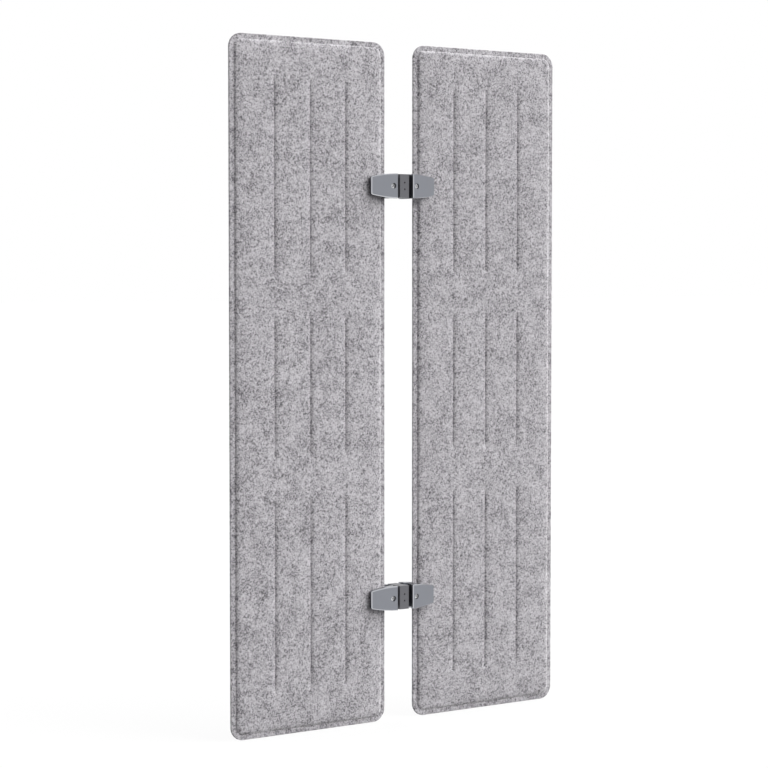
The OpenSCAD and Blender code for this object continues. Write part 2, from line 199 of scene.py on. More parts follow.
def shoulder_curve(leaf):
    """Distances from the leaf's edge, and the depths there of the shell's outer and inner face.
    A short steep shoulder stands on the rim and runs out into a crown.
    The inner face lies one felt thickness behind the outer one."""
    d = np.arange(0.0, CURVE_END, CURVE_STEP)
    felt = leaf.felt_thickness
    rise = LEAF_DEPTH - felt
    past = np.maximum(d - leaf.rim_width, 0)
    crown = leaf.crown_share * rise
    steep = rise - crown - leaf.swell_share * rise
    lift = steep * (1 - np.exp(-past / leaf.shoulder_reach))
    lift = lift + crown * (1 - np.exp(-past / leaf.crown_reach))
    outer = soften(felt + lift, CURVE_STEP, leaf.softness)
    behind = [np.interp(d + s, d, outer) - math.sqrt(max(felt**2 - s**2, 0))
              for s in np.linspace(-felt, felt, INNER_TRIES)]
    inner = np.min(behind, axis=0)
    lip = np.maximum(1 - d / (ROUND_WIDTH * felt), 0)
    outer = outer - ROUND_DEPTH * felt * (1 - np.sqrt(1 - lip**2))
    seam = SEAM_DEPTH * felt * np.maximum(1 - d / (SEAM_WIDTH * felt), 0)
    return d, outer, np.maximum(inner, 0) + seam


def face_depth(leaf, away):
    """Depth of the shell's outer face, from the weld plane, before the middle swells."""
    d, outer, _ = shoulder_curve(leaf)
    return np.interp(away, d, outer)


def hollow_depth(leaf, away):
    """Depth of the shell's inner face, from the weld plane, before the middle swells."""
    d, _, inner = shoulder_curve(leaf)
    return np.interp(away, d, inner)


def hollow_start(leaf):
    """Distance from the leaf's edge at which the hollow is deep enough for wadding."""
    d, _, inner = shoulder_curve(leaf)
    middle = d > leaf.rim_width / 2
    return float(np.interp(WADDING_ROOM, inner[middle], d[middle]))


def behind_rim(leaf, away, reach):
    """0 on the rim, and 1 from this reach behind it on."""
    return np.clip((away - leaf.rim_width) / reach, 0, 1)


def swell(leaf, x, z, away, width, height):
    """Slow swell of the middle: nothing at the rim and its full height far from every edge."""
    full = leaf.swell_share * (LEAF_DEPTH - leaf.felt_thickness)
    from_side = np.maximum(width / 2 - np.abs(x) - leaf.rim_width, 0)
    from_end = np.maximum(np.minimum(z, height - z) - leaf.rim_width, 0)
    start = behind_rim(leaf, away, SWELL_START)
    across = 1 - np.exp(-from_side / leaf.swell_reach)
    return full * start * across * (1 - np.exp(-from_end / leaf.swell_reach))


def groove_rows(leaf, height):
    """Bottom and top of the grooves in each row, from the leaf's foot."""
    end = (height - 2 * leaf.groove_margin - 2 * leaf.groove_gap - leaf.middle_groove) / 2
    rows, bottom = [], leaf.groove_margin
    for size in (end, leaf.middle_groove, end):
        rows.append((bottom, bottom + size))
        bottom += size + leaf.groove_gap
    return rows


def groove_shifts(leaf):
    """Places of the grooves across the leaf, from its middle."""
    half = (leaf.groove_columns - 1) / 2
    return [(i - half) * leaf.groove_pitch for i in range(leaf.groove_columns)]


def groove_press(leaf, x, z, height):
    """How far the grooves press the face back at points of the leaf.
    A groove has a steep left wall, a slanted right wall that runs out slowly, and a dish at each end."""
    depth = leaf.groove_share * (LEAF_DEPTH - leaf.felt_thickness)
    lip = leaf.lip_share * depth
    total = np.zeros_like(x)
    for bottom, top in groove_rows(leaf, height):
        inside = np.minimum(z - bottom, top - z)
        fade = np.clip(inside / (2 * leaf.end_radius), 0, 1)
        fade = fade * fade * (3 - 2 * fade)
        for shift in groove_shifts(leaf):
            u = x - shift
            left = lip * np.clip(1 + u / leaf.groove_reach, 0, 1) ** 2
            left += (depth - lip) * np.clip(1 + u / leaf.groove_wall, 0, 1)
            right = depth * np.exp(-np.maximum(u, 0) / leaf.groove_run)
            right = right * np.clip(1 - u / leaf.groove_reach, 0, 1)
            far = np.hypot(u, inside - leaf.end_radius)
            dish = leaf.end_share * depth * np.clip(1 - far / leaf.end_radius, 0, 1) ** DISH_POWER
            total = np.maximum(total, np.maximum(np.where(u < 0, left, right) * fade, dish))
    return total


def slow_waves(x, z):
    """Slow unevenness of pressed felt, from -1 to 1."""
    total = sum(np.sin(2 * math.pi * (a * x + b * z) / WAVE_SPAN + c) for a, b, c in WAVES)
    return total / len(WAVES)


def face_and_hollow(leaf, x, z, away, width, height):
    """Depths of a shell's outer and inner face with swell and grooves, before the waves."""
    press = groove_press(leaf, x, z, height)
    raised = swell(leaf, x, z, away, width, height)
    outer = face_depth(leaf, away) + raised - press
    return outer, hollow_depth(leaf, away) + raised - INNER_PRESS * press


# Lines of the grid, in millimetres: from the leaf's edge, across a groove from its middle,
# inward from a groove's end, and from the leaf's edge where the middle swells
RIM_STOPS = (0, 0.3, 0.8, 1.5, 5, 8.5, 10.2, 10.9, 11.2, 11.45, 11.7, 12,
             12.4, 12.9, 13.5, 14.2, 15.1, 16.3, 18, 21, 25)
ACROSS_STOPS = (-14, -10.5, -7, -4.5, -2.6, -1.5, -1.1, -0.95, -0.5, -0.1, 0, 0.15,
                0.5, 1, 1.6, 2.3, 3.1, 4, 5.2, 7, 9.5, 12, 14)
END_STOPS = (-4, -1.5, 0, 1.5, 3.5, 6, 8.5, 11, 13.5, 16, 19, 22, 26)
SWELL_STOPS = (34, 39, 45, 52, 60, 70)
# Lines of the wadding's grid, in millimetres from where the wadding starts
WADDING_STOPS = (0, 0.5, 1.2, 2.5, 5, 9)
# Widest gaps between lines across a leaf, up a leaf and across a pad
ACROSS_GAP = 0.020
UPRIGHT_GAP = 0.035
PAD_GAP = 0.001
# Lines that agree to this many digits of a metre are one line
STOP_DIGITS = 6
# A gap that is too wide by no more than this share isn't split
GAP_SLACK = 1e-6
# Keeps a division from zero
TINY = 1e-9


def spread(stops, gap):
    """Stops in rising order, with more put between any two that are further apart than the gap."""
    stops = sorted(set(round(s, STOP_DIGITS) for s in stops))
    lines = [stops[0]]
    for a, b in zip(stops, stops[1:]):
        parts = max(1, math.ceil((b - a) / gap - GAP_SLACK))
        lines += [a + (b - a) * k / parts for k in range(1, parts + 1)]
    return lines


def grid_lines(leaf, width, height):
    """Lines across and up a leaf between its corners, close together at grooves and near its edges."""
    r = leaf.corner_radius
    inner_x, inner_z = width / 2 - r, height - r
    across = [-inner_x, inner_x] + [side * (width / 2 - s * MM) for s in SWELL_STOPS for side in (-1, 1)]
    for shift in groove_shifts(leaf):
        across += [shift + s * MM for s in ACROSS_STOPS]
    upright = [r, inner_z] + [s * MM for s in SWELL_STOPS] + [height - s * MM for s in SWELL_STOPS]
    for bottom, top in groove_rows(leaf, height):
        upright += [bottom + s * MM for s in END_STOPS] + [top - s * MM for s in END_STOPS]
    return spread(across, ACROSS_GAP), spread(upright, UPRIGHT_GAP)


def leaf_grid(leaf, width, height, rim_stops):
    """Points over a leaf, as x from its middle, z from its foot and distance from its edge.
    Straight lines run along the edges, and round each corner the same lines turn about its centre."""
    r = leaf.corner_radius
    inner_x, inner_z = width / 2 - r, height - r
    across, upright = grid_lines(leaf, width, height)
    rim = [s * MM for s in rim_stops]
    x_line = [-width / 2 + d for d in rim] + across + [width / 2 - d for d in reversed(rim)]
    z_line = rim + upright + [height - d for d in reversed(rim)]
    x_away = np.array(rim + [r] * len(across) + rim[::-1])
    z_away = np.array(rim + [r] * len(upright) + rim[::-1])
    x, z = np.meshgrid(np.array(x_line), np.array(z_line), indexing="ij")
    away_x, away_z = np.meshgrid(x_away, z_away, indexing="ij")
    a, b = r - away_x, r - away_z
    out = np.maximum(a, b)
    corner = (a > 0) & (b > 0)
    share = np.minimum(a, b) / np.maximum(out, TINY)
    turn = np.where(a >= b, share * math.pi / 4, math.pi / 2 - share * math.pi / 4)
    x = np.where(corner, np.sign(x) * (inner_x + out * np.cos(turn)), x)
    up = z > height / 2
    corner_z = np.where(up, inner_z, r)
    z = np.where(corner, corner_z + np.where(up, 1, -1) * out * np.sin(turn), z)
    return x, z, np.minimum(away_x, away_z)


def closed_sheet(name, x, z, near, far):
    """A closed piece between two depths over the same grid of points, with the near side to -Y."""
    rows, columns = x.shape
    count = rows * columns
    points = np.empty((2 * count, 3))
    points[:count] = np.stack([x, -near, z], axis=-1).reshape(-1, 3)
    points[count:] = np.stack([x, -far, z], axis=-1).reshape(-1, 3)
    index = np.arange(count).reshape(rows, columns)
    quads = np.stack([index[:-1, :-1], index[1:, :-1], index[1:, 1:], index[:-1, 1:]], axis=-1)
    quads = quads.reshape(-1, 4)
    ring = np.concatenate([index[:, 0], index[-1, 1:], index[-2::-1, -1], index[0, -2:0:-1]])
    after = np.roll(ring, -1)
    wall = np.stack([after, ring, ring + count, after + count], axis=-1)
    faces = np.concatenate([quads, quads[:, ::-1] + count, wall])
    mesh = bpy.data.meshes.new(name)
    mesh.from_pydata(points.tolist(), [], faces.tolist())
    mesh.polygons.foreach_set("use_smooth", [True] * len(mesh.polygons))
    mesh.update()
    piece = bpy.data.objects.new(name, mesh)
    bpy.context.scene.collection.objects.link(piece)
    return piece


def new_group(name, inputs, outputs):
    """An empty shader node group with its sockets, and its input and output nodes."""
    group = bpy.data.node_groups.new(name, "ShaderNodeTree")
    for label, kind, value in inputs:
        socket = group.interface.new_socket(name=label, in_out="INPUT", socket_type=kind)
        if value is not None:
            socket.default_value = value
    for label, kind in outputs:
        group.interface.new_socket(name=label, in_out="OUTPUT", socket_type=kind)
    return group, group.nodes.new("NodeGroupInput"), group.nodes.new("NodeGroupOutput")


def add_node(tree, kind, values=(), **settings):
    """A node with its settings and the values of its unlinked inputs."""
    node = tree.nodes.new(kind)
    for key, value in settings.items():
        setattr(node, key, value)
    for key, value in dict(values).items():
        node.inputs[key].default_value = value
    return node


def feed(tree, socket, value):
    """Gives an input its value: the link from another socket, or a plain value."""
    if isinstance(value, bpy.types.NodeSocket):
        tree.links.new(value, socket)
    else:
        socket.default_value = value


def math_node(tree, operation, a, b):
    """A maths node whose inputs are sockets or numbers."""
    node = add_node(tree, "ShaderNodeMath", operation=operation)
    feed(tree, node.inputs[0], a)
    feed(tree, node.inputs[1], b)
    return node.outputs[0]


def noise(tree, vector, scale, detail=2.0, rough=0.5, twist=0.0):
    """A noise texture's value. The scale is a number or a socket."""
    node = add_node(tree, "ShaderNodeTexNoise", {"Detail": detail, "Roughness": rough, "Distortion": twist})
    tree.links.new(vector, node.inputs["Vector"])
    feed(tree, node.inputs["Scale"], scale)
    return node.outputs[0]


def step_mask(tree, value, none, full):
    """0 at the first limit and 1 at the second, whichever is larger, with a smooth step between."""
    node = add_node(tree, "ShaderNodeMapRange", {"From Min": none, "From Max": full},
                    interpolation_type="SMOOTHSTEP")
    tree.links.new(value, node.inputs["Value"])
    return node.outputs["Result"]


# Places of the colour sockets on a Mix node
MIX_COLOURS = (6, 7)
MIX_RESULT = 2


def blend_colour(tree, share, a, b):
    """A mix of two colours. Each is a socket or linear red, green and blue."""
    node = add_node(tree, "ShaderNodeMix", data_type="RGBA")
    tree.links.new(share, node.inputs["Factor"])
    for slot, value in zip(MIX_COLOURS, (a, b)):
        feed(tree, node.inputs[slot], value if isinstance(value, bpy.types.NodeSocket) else (*value, 1.0))
    return node.outputs[MIX_RESULT]


def vector_node(tree, operation, a, b):
    """A vector maths node between a socket and three numbers or another socket."""
    node = add_node(tree, "ShaderNodeVectorMath", operation=operation)
    feed(tree, node.inputs[0], a)
    feed(tree, node.inputs[1], b)
    return node.outputs["Vector"]


def weighted(tree, layers):
    """The sum of values, each with its weight."""
    total = None
    for value, weight in layers:
        part = math_node(tree, "MULTIPLY", value, weight)
        total = part if total is None else math_node(tree, "ADD", total, part)
    return total


# Fibres lie in these directions, in degrees, are drawn out along their own Z and curl this far
FIBRE_TURNS = (15, 75, 135)
FIBRE_DRAW = (1.0, 1.0, 0.10)
FIBRE_CURL = (0.012, 0.012, 0.012)
# Mean of the noise that curls them
CURL_MEAN = (0.5, 0.5, 0.5)
# Fineness of each layer against the group's scale
CURL_SCALE = 1.1
FIBRE_SCALE = 11.0
CLOUD_SCALE = 0.22
STRAND_SCALE = 2.2
# Distortion of tufts and strands
LAYER_TWIST = 0.8
# Shares of the layers in the matted felt, and of the matted felt in the masks and in the height
TUFT_SHARE = 0.24
STRAND_SHARE = 0.42
CLOUD_SHARE = 0.14
FIBRE_SHARE = 0.20
MATTED_SHARE = 0.63
HEIGHT_SHARE = 0.5


def fibre_group():
    """Matted fibres: masks of dark and light fibres, and their height.
    Curled fibres in three directions lie over tufts and clouds of darker and lighter felt."""
    found = bpy.data.node_groups.get("Matted fibres")
    if found:
        return found
    group, given, made = new_group(
        "Matted fibres",
        [("Vector", "NodeSocketVector", None), ("Scale", "NodeSocketFloat", 120.0)],
        [("Dark", "NodeSocketFloat"), ("Light", "NodeSocketFloat"), ("Height", "NodeSocketFloat")],
    )
    vector, scale = given.outputs["Vector"], given.outputs["Scale"]

    def scaled(factor):
        return math_node(group, "MULTIPLY", scale, factor)

    curl = add_node(group, "ShaderNodeTexNoise", {"Detail": 1.0})
    group.links.new(vector, curl.inputs["Vector"])
    group.links.new(scaled(CURL_SCALE), curl.inputs["Scale"])
    bend = vector_node(group, "SUBTRACT", curl.outputs["Color"], CURL_MEAN)
    curled = vector_node(group, "ADD", vector, vector_node(group, "MULTIPLY", bend, FIBRE_CURL))
    fibres = []
    for degrees in FIBRE_TURNS:
        turned = add_node(group, "ShaderNodeVectorRotate", {"Angle": math.radians(degrees)},
                          rotation_type="Y_AXIS")
        group.links.new(curled, turned.inputs["Vector"])
        drawn = vector_node(group, "MULTIPLY", turned.outputs["Vector"], FIBRE_DRAW)
        fibres.append(noise(group, drawn, scaled(FIBRE_SCALE), detail=1.0))
    low = math_node(group, "MINIMUM", math_node(group, "MINIMUM", fibres[0], fibres[1]), fibres[2])
    high = math_node(group, "MAXIMUM", math_node(group, "MAXIMUM", fibres[0], fibres[1]), fibres[2])
    clouds = noise(group, vector, scaled(CLOUD_SCALE))
    tufts = noise(group, vector, scale, twist=LAYER_TWIST)
    strands = noise(group, vector, scaled(STRAND_SCALE), detail=1.0, twist=LAYER_TWIST)
    layers = [(tufts, TUFT_SHARE), (strands, STRAND_SHARE), (clouds, CLOUD_SHARE)]
    matted = weighted(group, layers + [(fibre, FIBRE_SHARE / len(fibres)) for fibre in fibres])
    dark = weighted(group, [(matted, MATTED_SHARE), (low, 1 - MATTED_SHARE)])
    light = weighted(group, [(matted, MATTED_SHARE), (high, 1 - MATTED_SHARE)])
    height = weighted(group, [(matted, HEIGHT_SHARE), (high, 1 - HEIGHT_SHARE)])
    group.links.new(step_mask(group, dark, none=0.474, full=0.398), made.inputs["Dark"])
    group.links.new(step_mask(group, light, none=0.526, full=0.592), made.inputs["Light"])
    group.links.new(height, made.inputs["Height"])
    return group


# Fineness of patches and handling marks on metal, and share of the patches in its shade
PATCH_SCALE = 28.0
MARK_SCALE = 160.0
PATCH_SHARE = 0.7


def metal_group():
    """Worked metal: its uneven shade, faint handling marks and the height of its fine grain."""
    found = bpy.data.node_groups.get("Worked metal")
    if found:
        return found
    group, given, made = new_group(
        "Worked metal",
        [("Vector", "NodeSocketVector", None), ("Grain", "NodeSocketFloat", 900.0)],
        [("Shade", "NodeSocketFloat"), ("Marks", "NodeSocketFloat"), ("Height", "NodeSocketFloat")],
    )
    vector = given.outputs["Vector"]
    grain = noise(group, vector, given.outputs["Grain"], rough=0.6)
    patches = noise(group, vector, PATCH_SCALE, detail=3.0, rough=0.55)
    marks = noise(group, vector, MARK_SCALE, detail=4.0, rough=0.7, twist=3.0)
    shade = weighted(group, [(patches, PATCH_SHARE), (grain, 1 - PATCH_SHARE)])
    group.links.new(shade, made.inputs["Shade"])
    group.links.new(step_mask(group, marks, none=0.56, full=0.74), made.inputs["Marks"])
    group.links.new(grain, made.inputs["Height"])
    return group


def new_material(name, values):
    """A material, its node tree, its Principled shader with these values, and its coordinates node."""
    material = bpy.data.materials.new(name)
    material.use_nodes = True
    tree = material.node_tree
    shader = next(n for n in tree.nodes if n.type == "BSDF_PRINCIPLED")
    for key, value in values.items():
        shader.inputs[key].default_value = value
    return material, tree, shader, add_node(tree, "ShaderNodeTexCoord")


def place_group(tree, group, vector, **values):
    """A node group in a material, with its own values."""
    node = add_node(tree, "ShaderNodeGroup", node_tree=group)
    tree.links.new(vector, node.inputs["Vector"])
    for key, value in values.items():
        node.inputs[key].default_value = value
    return node


def add_bump(tree, shader, height, strength, distance):
    """A bump from a height, on the shader's normal."""
    bump = add_node(tree, "ShaderNodeBump", {"Strength": strength, "Distance": distance})
    tree.links.new(height, bump.inputs["Height"])
    tree.links.new(bump.outputs["Normal"], shader.inputs["Normal"])


def tinted(colour_value, factor):
    """A colour made lighter or darker by a factor."""
    return tuple(min(1.0, factor * c) for c in colour_value)


def ranged(tree, value, low, high):
    """A value from 0 to 1 spread from low to high."""
    node = add_node(tree, "ShaderNodeMapRange", {"To Min": low, "To Max": high})
    tree.links.new(value, node.inputs["Value"])
    return node.outputs["Result"]


# How far the fibres' masks go towards their own colours
DARK_FULL = 0.93
LIGHT_FULL = 0.9


def felt_material():
    """Light grey melange felt with dark and light fibres."""
    f = finishes()
    material, tree, shader, place = new_material("Melange felt", {
        "Specular IOR Level": 0.15, "Sheen Weight": 0.75, "Sheen Roughness": 0.5})
    fibres = place_group(tree, fibre_group(), place.outputs["Object"], Scale=120.0)
    dark = math_node(tree, "MULTIPLY", fibres.outputs["Dark"], DARK_FULL)
    light = math_node(tree, "MULTIPLY", fibres.outputs["Light"], LIGHT_FULL)
    shade = blend_colour(tree, light, blend_colour(tree, dark, f.felt_mid, f.felt_dark), f.felt_light)
    tree.links.new(shade, shader.inputs["Base Color"])
    tree.links.new(ranged(tree, fibres.outputs["Height"], low=0.88, high=1.0), shader.inputs["Roughness"])
    add_bump(tree, shader, fibres.outputs["Height"], strength=0.35, distance=0.0012)
    return material


def wadding_material():
    """Off-white loose wadding."""
    f = finishes()
    material, tree, shader, place = new_material("Wadding", {
        "Specular IOR Level": 0.1, "Sheen Weight": 0.2})
    fibres = place_group(tree, fibre_group(), place.outputs["Object"], Scale=60.0)
    shade = blend_colour(tree, fibres.outputs["Dark"], f.wadding, tinted(f.wadding, factor=0.75))
    tree.links.new(shade, shader.inputs["Base Color"])
    tree.links.new(ranged(tree, fibres.outputs["Height"], low=0.9, high=1.0), shader.inputs["Roughness"])
    add_bump(tree, shader, fibres.outputs["Height"], strength=0.6, distance=0.002)
    return material


# Handling marks on metal: how much lighter they are and how far they show
MARK_TINT = 1.25
MARK_FULL = 0.12
# Roughness of metal goes this far to each side of its mean, and its grain is this high
ROUGH_SPREAD = 0.06
GRAIN_HEIGHT = 0.0001


def metal_material(name, tint, rough, grain, contrast, bump, metallic=1.0):
    """A metal with a fine grain, patches and faint marks: the material, then its nodes and its shade."""
    material, tree, shader, place = new_material(name, {"Metallic": metallic})
    worked = place_group(tree, metal_group(), place.outputs["Object"], Grain=grain)
    low, high = tinted(tint, 1 - contrast), tinted(tint, 1 + contrast)
    shade = blend_colour(tree, worked.outputs["Shade"], low, high)
    marks = math_node(tree, "MULTIPLY", worked.outputs["Marks"], MARK_FULL)
    shade = blend_colour(tree, marks, shade, tinted(tint, MARK_TINT))
    roughness = ranged(tree, worked.outputs["Shade"], low=rough - ROUGH_SPREAD, high=rough + ROUGH_SPREAD)
    tree.links.new(shade, shader.inputs["Base Color"])
    tree.links.new(roughness, shader.inputs["Roughness"])
    add_bump(tree, shader, worked.outputs["Height"], strength=bump, distance=GRAIN_HEIGHT)
    return material, tree, shader, place, shade


# Angle of a jaw's face to the leaf, and how much smoother than the face its bevels are
JAW_SLOPE = math.radians(8.4)
BEVEL_POLISH = 0.22


def jaw_material(name, turn):
    """Satin metal with smoother bevels that are painted lighter, a painted highlight along the edges. The
    jaw's face is turned this far from the front about Z.
    """
    f = finishes()
    material, tree, shader, place, shade = metal_material(
        name, f.satin, rough=0.30, grain=1400.0, contrast=0.05, bump=0.12)
    dot = add_node(tree, "ShaderNodeVectorMath", operation="DOT_PRODUCT")
    feed(tree, dot.inputs[0], place.outputs["Normal"])
    feed(tree, dot.inputs[1], (math.sin(turn), -math.cos(turn), 0.0))
    facing = dot.outputs["Value"]
    not_side = step_mask(tree, facing, none=0.30, full=0.50)
    not_face = step_mask(tree, facing, none=0.97, full=0.90)
    bevel = math_node(tree, "MULTIPLY", not_side, not_face)
    # Painted highlight: the bevels are coloured lighter in place of the light their edges catch; their
    # lower roughness is real polish
    tree.links.new(blend_colour(tree, bevel, shade, f.bright), shader.inputs["Base Color"])
    rough = shader.inputs["Roughness"].links[0].from_socket
    smooth = math_node(tree, "SUBTRACT", rough, math_node(tree, "MULTIPLY", bevel, BEVEL_POLISH))
    tree.links.new(smooth, shader.inputs["Roughness"])
    return material


def rubber_material():
    """Matt black rubber."""
    f = finishes()
    material, tree, shader, place = new_material("Pad rubber", {"Specular IOR Level": 0.3})
    worked = place_group(tree, metal_group(), place.outputs["Object"], Grain=700.0)
    shade = blend_colour(tree, worked.outputs["Shade"], f.rubber, tinted(f.rubber, factor=1.8))
    tree.links.new(shade, shader.inputs["Base Color"])
    tree.links.new(ranged(tree, worked.outputs["Shade"], low=0.62, high=0.82), shader.inputs["Roughness"])
    add_bump(tree, shader, worked.outputs["Height"], strength=0.3, distance=0.0002)
    return material


def leaf_place(side):
    """Middle across and foot of a leaf."""
    low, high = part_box(f"{side}_front_shell")
    return (low.x + high.x) / 2, low.z


def leaf_size(side):
    """Width and height of a leaf."""
    low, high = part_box(f"{side}_front_shell")
    return high.x - low.x, high.z - low.z


# Points closer than this are joined, and edges sharper than this angle are rounded in so many steps
JOIN_REACH = 0.00001
SHARP_ANGLE = math.radians(35)
ROUND_STEPS = 2


def soften_edges(piece, width):
    """Rounds the sharp edges of a piece."""
    weld = piece.modifiers.new("Join", "WELD")
    weld.merge_threshold = JOIN_REACH
    bevel = piece.modifiers.new("Soft edges", "BEVEL")
    bevel.width = width
    bevel.segments = ROUND_STEPS
    bevel.limit_method = "ANGLE"
    bevel.angle_limit = SHARP_ANGLE
    bevel.harden_normals = True
    bevel.use_clamp_overlap = True


def finish_node(name, material, edge=0.0):
    """Gives a CAD node its material, and softens its edges where an edge rounding is given."""
    if name not in NODES:
        raise RuntimeError(f"the frame has no node named {name}")
    node = NODES[name]
    node.data.materials.clear()
    node.data.materials.append(material)
    if edge:
        soften_edges(node, edge)


def leaf_sheet(name, side, turn, x, z, near, far):
    """A closed sheet at its place on a leaf. Turn is 1 on the leaf's front, and -1 turns it to the rear."""
    middle, foot = leaf_place(side)
    piece = closed_sheet(name, x, z, near, far)
    for v in piece.data.vertices:
        v.co = (middle + turn * v.co.x, turn * v.co.y, foot + v.co.z)
    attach(piece, f"{side}_leaf")
    return piece


class FELTSCREEN_OT_shells(bpy.types.Operator):
    """Moulded felt shells with rim, shoulder and grooves"""
    bl_idname = "felt_screen.shells"
    bl_label = "Felt shells"

    def execute(self, context):
        leaf, felt = leaf_settings(), felt_material()
        for side in SIDES:
            middle = leaf_place(side)[0]
            width, height = leaf_size(side)
            x, z, away = leaf_grid(leaf, width, height, RIM_STOPS)
            outer, inner = face_and_hollow(leaf, x, z, away, width, height)
            waves = leaf.wave * slow_waves(x + WAVE_MOVE * middle, z)
            outer = outer + waves * behind_rim(leaf, away, WAVE_START)
            inner = np.maximum(inner, INNER_LEAST)
            for face, turn in FACES.items():
                piece = leaf_sheet(f"{side}_{face}_felt", side, turn, x, z, outer, inner)
                piece.data.materials.append(felt)
                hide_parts(f"{side}_{face}_shell")
        return {"FINISHED"}


class FELTSCREEN_OT_wadding(bpy.types.Operator):
    """Wadding between the two shells of each leaf"""
    bl_idname = "felt_screen.wadding"
    bl_label = "Wadding"

    def execute(self, context):
        leaf, fill = leaf_settings(), wadding_material()
        start = hollow_start(leaf) / MM
        for side in SIDES:
            width, height = leaf_size(side)
            x, z, away = leaf_grid(leaf, width, height, [start + s for s in WADDING_STOPS])
            hollow = face_and_hollow(leaf, x, z, away, width, height)[1]
            half = np.maximum(hollow - leaf.wadding_clear, WADDING_LEAST)
            piece = leaf_sheet(f"{side}_wadding", side, 1, x, z, half, -half)
            piece.data.materials.append(fill)
            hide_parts(f"{side}_core")
        return {"FINISHED"}


class FELTSCREEN_OT_jaws(bpy.types.Operator):
    """Satin metal clamp jaws with smoother bevels, painted lighter as a highlight"""
    bl_idname = "felt_screen.jaws"
    bl_label = "Clamp jaws"

    def execute(self, context):
        for side, across in zip(SIDES, (-1, 1)):
            for face, turn in (("front", across * JAW_SLOPE), ("rear", math.pi - across * JAW_SLOPE)):
                satin = jaw_material(f"Satin {side} {face} jaw", turn)
                for level in LEVELS:
                    finish_node(f"{level}_{side}_{face}_jaw", satin)
        return {"FINISHED"}


class FELTSCREEN_OT_links(bpy.types.Operator):
    """Links coloured darker as painted shade, and satin metal knuckles"""
    bl_idname = "felt_screen.links"
    bl_label = "Links and knuckles"

    def execute(self, context):
        f = finishes()
        # Painted shade: the links' darker colour stands in for the shade of their recess
        dark = metal_material("Link metal with painted shade", f.dark_metal,
                              rough=0.40, grain=1100.0, contrast=0.08, bump=0.15)[0]
        satin = metal_material("Bare satin metal", f.bright,
                               rough=0.40, grain=1400.0, contrast=0.05, bump=0.12, metallic=0.6)[0]
        for level in LEVELS:
            finish_node(f"{level}_link_front", dark, f.edge)
            finish_node(f"{level}_link_rear", dark, f.edge)
            for side in SIDES:
                finish_node(f"{level}_{side}_knuckle", satin, f.edge)
        return {"FINISHED"}


class FELTSCREEN_OT_fasteners(bpy.types.Operator):
    """Steel pins and link screws, zinc-plated clamp screws and sleeve nuts"""
    bl_idname = "felt_screen.fasteners"
    bl_label = "Screws and pins"

    def execute(self, context):
        f = finishes()
        steel = metal_material("Bright steel", f.steel,
                               rough=0.20, grain=1600.0, contrast=0.05, bump=0.06)[0]
        zinc = metal_material("Dull zinc plating", f.zinc,
                              rough=0.45, grain=1600.0, contrast=0.05, bump=0.06, metallic=0.2)[0]
        for level in LEVELS:
            finish_node(f"{level}_link_screws", steel, f.edge / 2)
            for side in SIDES:
                finish_node(f"{level}_{side}_pin", steel)
                finish_node(f"{level}_{side}_clamp_screw", zinc, f.edge)
                finish_node(f"{level}_{side}_sleeve_nut", zinc, f.edge)
        return {"FINISHED"}


class FELTSCREEN_OT_pads(bpy.types.Operator):
    """Rubber pads between jaws and felt, moulded to the felt"""
    bl_idname = "felt_screen.pads"
    bl_label = "Rubber pads"

    def execute(self, context):
        leaf, rubber = leaf_settings(), rubber_material()
        for level in LEVELS:
            for side in SIDES:
                middle, foot = leaf_place(side)
                width, height = leaf_size(side)
                for face, turn in FACES.items():
                    node = f"{level}_{side}_{face}_pad"
                    low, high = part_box(node)
                    ends = [turn * (low.x - middle), turn * (high.x - middle)]
                    z_line = np.array([low.z - foot, high.z - foot])
                    x, z = np.meshgrid(np.array(spread(ends, PAD_GAP)), z_line, indexing="ij")
                    away = width / 2 - np.abs(x)
                    felt = face_depth(leaf, away) + swell(leaf, x, z, away, width, height)
                    top = np.full_like(x, max(-low.y, high.y))
                    piece = leaf_sheet(f"{node}_moulded", side, turn, x, z, top, felt + leaf.pad_clear)
                    piece.data.materials.append(rubber)
                    soften_edges(piece, finishes().edge)
                    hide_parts(node)
        return {"FINISHED"}


def seen_rays(tree):
    """1 for rays that show the surroundings: from the camera, a reflection or glass."""
    path = add_node(tree, "ShaderNodeLightPath")
    seen = math_node(tree, "MAXIMUM", path.outputs["Is Camera Ray"], path.outputs["Is Glossy Ray"])
    return math_node(tree, "MAXIMUM", seen, path.outputs["Is Transmission Ray"])


# Colour of the sky and of the floor's glow
WHITE = (1.0, 1.0, 1.0, 1.0)
# Fineness and tint of the floor's faint clouds
CLOUDY_SCALE = 1.5
CLOUDY_TINT = 1.02


def floor_material(stage):
    """A floor that is seen as nearly white but keeps the shadow. It is grey to the light it throws back."""
    material, tree, shader, place = new_material("Pale floor", {
        "Roughness": 0.9, "Specular IOR Level": 0.0})
    cloudy = noise(tree, place.outputs["Object"], CLOUDY_SCALE)
    shade = blend_colour(tree, cloudy, stage.floor, tinted(stage.floor, CLOUDY_TINT))
    tree.links.new(shade, shader.inputs["Base Color"])
    glow = add_node(tree, "ShaderNodeEmission", {"Color": WHITE, "Strength": stage.floor_glow})
    mix = add_node(tree, "ShaderNodeMixShader")
    tree.links.new(math_node(tree, "MULTIPLY", seen_rays(tree), stage.floor_white), mix.inputs["Fac"])
    tree.links.new(shader.outputs["BSDF"], mix.inputs[1])
    tree.links.new(glow.outputs["Emission"], mix.inputs[2])
    out = next(n for n in tree.nodes if n.type == "OUTPUT_MATERIAL")
    tree.links.new(mix.outputs["Shader"], out.inputs["Surface"])
    return material


# Directions that the two lights come from
KEY_FROM = Vector((0.755, -0.35, 0.555))
FILL_FROM = Vector((-0.62, 0.60, 0.50))
# Half the floor's width in metres, and the camera's sensor in millimetres and reach in metres
FLOOR_HALF = 60.0
SENSOR_WIDTH = 36.0
CAMERA_REACH = 200.0


